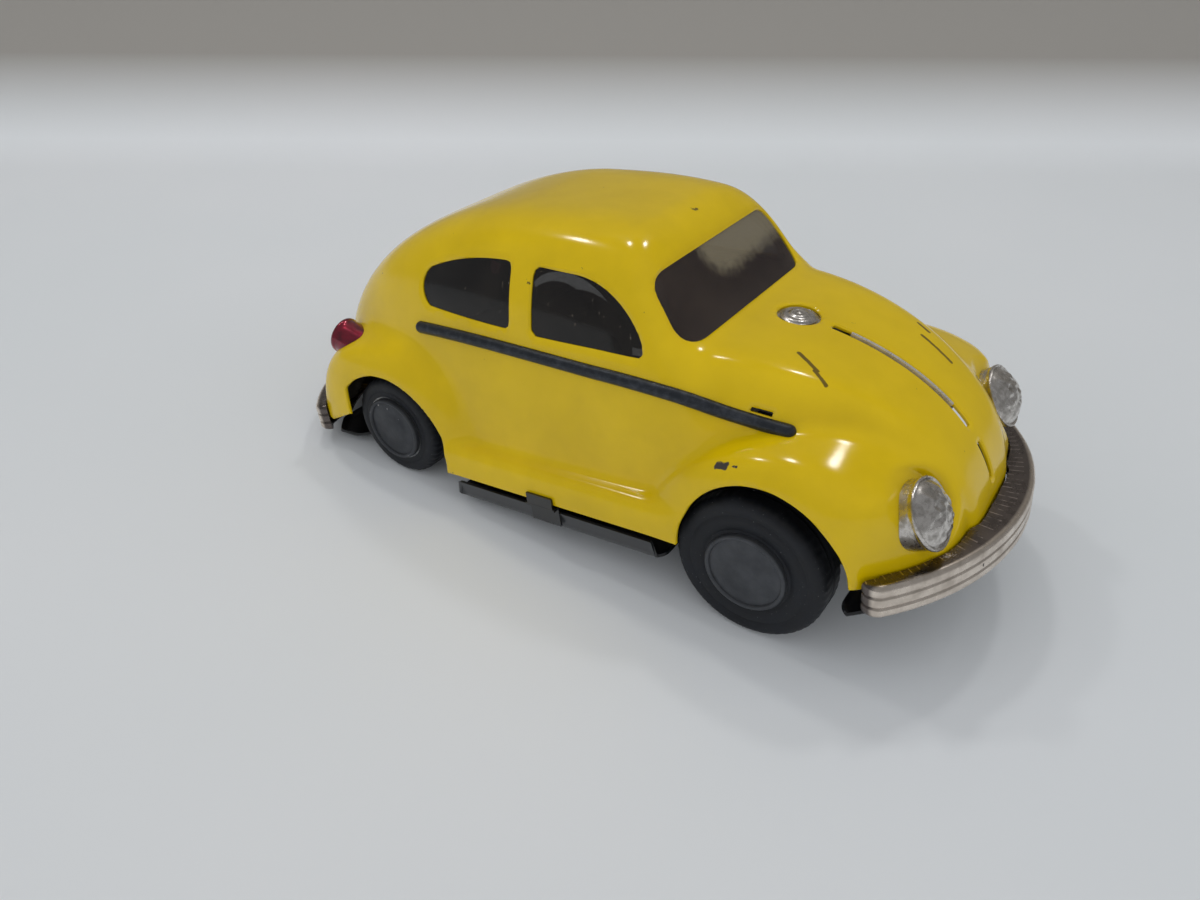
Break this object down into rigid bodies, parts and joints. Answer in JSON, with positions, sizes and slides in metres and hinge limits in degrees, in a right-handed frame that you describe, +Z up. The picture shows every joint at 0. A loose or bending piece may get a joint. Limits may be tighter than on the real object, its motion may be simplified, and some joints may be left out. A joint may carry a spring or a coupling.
{
  "type": "friction tin car",
  "caption": "Rounded two-door tin saloon with a friction drive: a heavy flywheel geared to the rear axle spins up when the car is pushed and carries it along.",
  "frame": {"origin": "middle of the floor area that the standing car covers, on the floor", "axes": "+X towards the nose, +Y to the car's left, +Z up; the car stands on its four tyres with its nose a little raised"},
  "size_m": [0.1564, 0.0672, 0.0611],
  "materials": {
    "yellow_enamel": "glossy baked enamel, chipped and scratched in places",
    "smoked_sheet": "smoke-tinted clear sheet, scratched",
    "bright_tin": "bright plated tin, embossed, slightly dulled",
    "dark_trim": "dull gunmetal",
    "red_lamp": "transparent raspberry lacquer over bright tin",
    "nickel": "nickel plate with fine scratches and tarnish",
    "black_tin": "black enamel, worn to bare tin at its edges",
    "plain_steel": "plain rolled steel",
    "gear_steel": "cut gear steel, oiled",
    "cast_weight": "plain cast weight, turned on its rim",
    "tyre_rubber": "dusty black rubber",
    "cap_tin": "dull grey plated tin"
  },
  "bodies": {
    "body": {"body_shell": "yellow_enamel", "windscreen": "smoked_sheet", "rear_glazing": "smoked_sheet", "side_glazing_left": "smoked_sheet", "side_glazing_right": "smoked_sheet", "hood_strip": "bright_tin", "hood_badge": "bright_tin", "side_trim_left": "dark_trim", "side_trim_right": "dark_trim", "headlamp_left": "bright_tin", "headlamp_right": "bright_tin", "tail_lamp_left": "red_lamp", "tail_lamp_right": "red_lamp", "front_bumper": "nickel", "rear_bumper": "nickel", "chassis": "black_tin", "drive_plate_left": "plain_steel", "drive_plate_right": "plain_steel", "drive_rivets": "plain_steel"},
    "front_wheels": {"front_axle": "plain_steel", "front_wheel_left": "plain_steel", "front_wheel_right": "plain_steel", "front_tyre_left": "tyre_rubber", "front_tyre_right": "tyre_rubber", "front_hub_cap_left": "cap_tin", "front_hub_cap_right": "cap_tin"},
    "rear_wheels": {"rear_axle": "plain_steel", "axle_gear": "gear_steel", "rear_wheel_left": "plain_steel", "rear_wheel_right": "plain_steel", "rear_tyre_left": "tyre_rubber", "rear_tyre_right": "tyre_rubber", "rear_hub_cap_left": "cap_tin", "rear_hub_cap_right": "cap_tin"},
    "idler": {"idler_arbor": "plain_steel", "idler_gear": "gear_steel", "idler_pinion": "gear_steel"},
    "flywheel": {"flywheel_arbor": "plain_steel", "flywheel_pinion": "gear_steel", "flywheel_left": "cast_weight", "flywheel_right": "cast_weight"}
  },
  "joints": [
    {"name": "front_axle_spin", "type": "hinge", "parent": "body", "child": "front_wheels", "pos_m": [0.04199, 0, 0.01385], "axis": [0, 1, 0], "continuous": true},
    {"name": "rear_axle_spin", "type": "hinge", "parent": "body", "child": "rear_wheels", "pos_m": [-0.04043, 0, 0.011], "axis": [0, 1, 0], "continuous": true},
    {"name": "idler_spin", "type": "hinge", "parent": "body", "child": "idler", "pos_m": [-0.03073, 0, 0.01618], "axis": [0, 1, 0], "continuous": true},
    {"name": "flywheel_spin", "type": "hinge", "parent": "body", "child": "flywheel", "pos_m": [-0.02028, 0, 0.0196], "axis": [0, 1, 0], "continuous": true}
  ],
  "couplings": [
    {"joint": "rear_axle_spin", "follows": "flywheel_spin", "ratio": 0.14062},
    {"joint": "idler_spin", "follows": "flywheel_spin", "ratio": -0.375}
  ]
}
